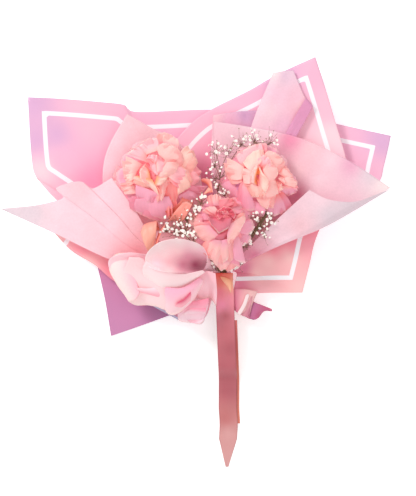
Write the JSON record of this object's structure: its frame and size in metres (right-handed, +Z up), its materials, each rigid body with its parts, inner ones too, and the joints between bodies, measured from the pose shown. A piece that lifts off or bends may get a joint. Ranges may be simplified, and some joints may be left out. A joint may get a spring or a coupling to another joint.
{
  "type": "bunch of carnations",
  "caption": "Laid-down bunch of cut pink carnations with baby's breath, wrapped in bordered paper and tissue, gathered and tied with a satin ribbon.",
  "frame": {"origin": "bottom centre of the bunch's bounding box, as it lies on its back on a table", "axes": "+Z up off the table, +Y from the tie towards the blooms, +X to the right as seen from above"},
  "size_m": [0.459, 0.488, 0.1134],
  "materials": {
    "wrap": "matt pearl wrapping sheet, pink face and mauve back, white line border",
    "tissue": "thin translucent pink tissue",
    "ribbon": "satin, rose",
    "coral_ribbon": "satin, coral",
    "petals": "soft matt petals, peach to pink",
    "stem": "waxy green",
    "twine": "twine",
    "babys_breath": "white florets on thin brown twigs"
  },
  "bodies": {
    "root": {"babys_breath_front": "babys_breath", "babys_breath_left": "babys_breath", "babys_breath_right": "babys_breath", "babys_breath_top": "babys_breath", "centre_bloom_calyx": "stem", "centre_bloom_heart": "petals", "centre_bloom_petal_1": "petals", "centre_bloom_petal_2": "petals", "centre_bloom_petal_3": "petals", "centre_bloom_petal_4": "petals", "centre_bloom_petal_5": "petals", "centre_bloom_petal_6": "petals", "centre_bloom_stem": "stem", "collar_roll": "tissue", "collar_ruffle": "tissue", "left_bloom_calyx": "stem", "left_bloom_heart": "petals", "left_bloom_petal_1": "petals", "left_bloom_petal_2": "petals", "left_bloom_petal_3": "petals", "left_bloom_petal_4": "petals", "left_bloom_petal_5": "petals", "left_bloom_petal_6": "petals", "left_bloom_stem": "stem", "outer_sheet_far_right": "wrap", "outer_sheet_left": "wrap", "outer_sheet_lower_left": "wrap", "outer_sheet_lower_right": "wrap", "outer_sheet_tail": "wrap", "outer_sheet_top_right": "wrap", "outer_sheet_under_collar": "wrap", "ribbon_back_tail": "ribbon", "ribbon_front_tail": "ribbon", "ribbon_loop_left": "coral_ribbon", "ribbon_loop_middle": "coral_ribbon", "ribbon_waist": "ribbon", "right_bloom_calyx": "stem", "right_bloom_heart": "petals", "right_bloom_petal_1": "petals", "right_bloom_petal_2": "petals", "right_bloom_petal_3": "petals", "right_bloom_petal_4": "petals", "right_bloom_petal_5": "petals", "right_bloom_stem": "stem", "small_bloom_calyx": "stem", "small_bloom_heart": "petals", "small_bloom_petal_1": "petals", "small_bloom_petal_2": "petals", "small_bloom_petal_3": "petals", "small_bloom_stem": "stem", "stem_tie": "twine", "tissue_back_left": "tissue", "tissue_back_middle": "tissue", "tissue_back_right": "tissue", "tissue_left": "tissue", "tissue_pleat": "tissue", "tissue_right_fold": "tissue"}
  },
  "joints": []
}
